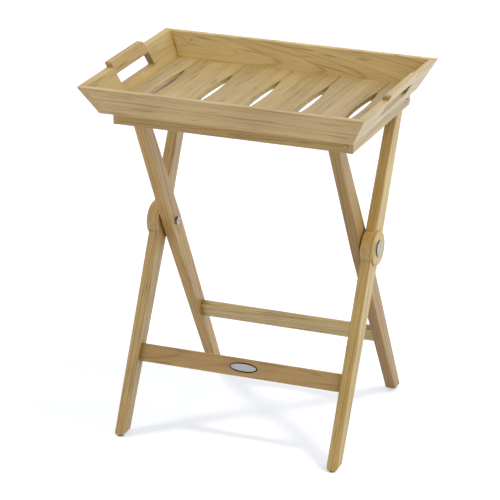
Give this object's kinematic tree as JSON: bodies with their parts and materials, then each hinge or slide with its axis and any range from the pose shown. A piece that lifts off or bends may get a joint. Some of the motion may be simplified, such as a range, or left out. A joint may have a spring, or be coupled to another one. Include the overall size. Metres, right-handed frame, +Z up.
{
  "type": "folding tray table",
  "caption": "Butler's tray table in pale teak: a flared tray with a slatted floor and handled ends lifts off a folding stand of crossed legs.",
  "frame": {"origin": "on the floor, under the middle of the table's outline, feet on Z = 0", "axes": "+Z up, -Y to the front, where the oval plate is, +X to the right"},
  "size_m": [0.6088, 0.4576, 0.7574],
  "materials": {
    "teak": "sanded, unfinished teak",
    "steel": "plain stainless steel",
    "plate_metal": "satin, bare",
    "brass": "plain turned brass",
    "glide_plastic": "moulded, dark"
  },
  "bodies": {
    "outer_frame": {"outer_left_leg": "teak", "outer_right_leg": "teak", "front_stretcher": "teak", "front_stretcher_pegs": "teak", "oval_plate": "plate_metal", "plate_pins": "plate_metal", "rear_top_bar": "teak", "rear_bar_pegs": "teak", "left_pivot_bolt": "steel", "right_pivot_bolt": "steel", "left_pivot_nut": "steel", "right_pivot_nut": "steel", "pivot_washers": "steel", "left_rail_bolt": "steel", "right_rail_bolt": "steel", "rail_washers": "steel", "rail_inserts": "brass", "outer_glides": "glide_plastic"},
    "inner_frame": {"inner_left_leg": "teak", "inner_right_leg": "teak", "rear_stretcher": "teak", "rear_stretcher_pegs": "teak", "pivot_bushes": "brass", "inner_glides": "glide_plastic"},
    "top_frame": {"left_side_rail": "teak", "right_side_rail": "teak", "front_bar": "teak", "bar_dowels": "teak"},
    "tray": {"tray_front_board": "teak", "tray_back_board": "teak", "tray_left_end": "teak", "tray_right_end": "teak", "floor_slat_1": "teak", "floor_slat_2": "teak", "floor_slat_3": "teak", "floor_slat_4": "teak", "floor_slat_5": "teak", "floor_slat_6": "teak", "left_handle": "teak", "right_handle": "teak"}
  },
  "joints": [
    {"name": "top_swing", "type": "hinge", "parent": "outer_frame", "child": "top_frame", "pos_m": [0, 0.14819, 0.67106], "axis": [-1, 0, 0], "range_deg": [0, 110]},
    {"name": "leg_fold", "type": "hinge", "parent": "outer_frame", "child": "inner_frame", "pos_m": [0, 0.00406, 0.4], "axis": [-1, 0, 0], "range_deg": [0, 50.5]},
    {"name": "tray_lift", "type": "slide", "parent": "top_frame", "child": "tray", "axis": [0, 0, 1], "range_m": [0, 0.3]}
  ],
  "couplings": [
    {"joint": "leg_fold", "follows": "top_swing", "ratio": 0.45455}
  ]
}
